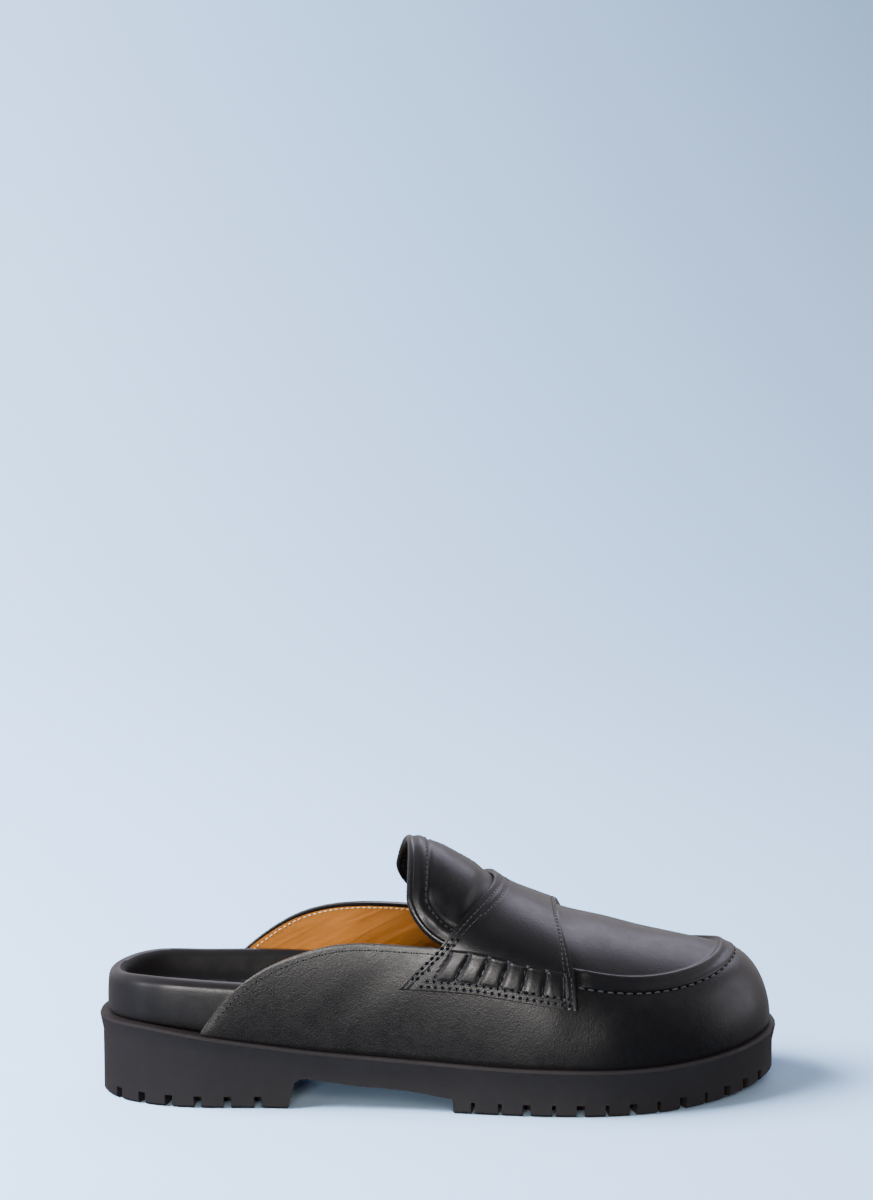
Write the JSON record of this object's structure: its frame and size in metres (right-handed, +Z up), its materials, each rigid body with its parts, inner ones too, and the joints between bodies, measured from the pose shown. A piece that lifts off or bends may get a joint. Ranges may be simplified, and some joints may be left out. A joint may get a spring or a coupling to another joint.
{
  "type": "loafer",
  "caption": "Backless slip-on loafer for the right foot: moc-toe upper with a saddle strap and raised tongue over a wrapped footbed, on a thick lugged unit sole",
  "frame": {"origin": "on the floor, under the middle of the outsole's outline", "axes": "+X towards the toe, +Y towards the inner (medial) side of the foot, +Z up; the outer (lateral) side is -Y"},
  "size_m": [0.3, 0.1096, 0.1138],
  "materials": {
    "sole_rubber": "matte moulded rubber, dark grey",
    "footbed_leather": "smooth black wrapping leather, satin",
    "insole_leather": "smooth black sock leather, matte",
    "upper_leather": "smooth black calf leather, semi-gloss"
  },
  "bodies": {
    "root": {"outsole": "sole_rubber", "footbed": "footbed_leather", "insole": "insole_leather", "upper": "upper_leather", "tongue": "upper_leather", "tongue_piping": "upper_leather", "saddle_strap": "upper_leather"}
  },
  "joints": []
}
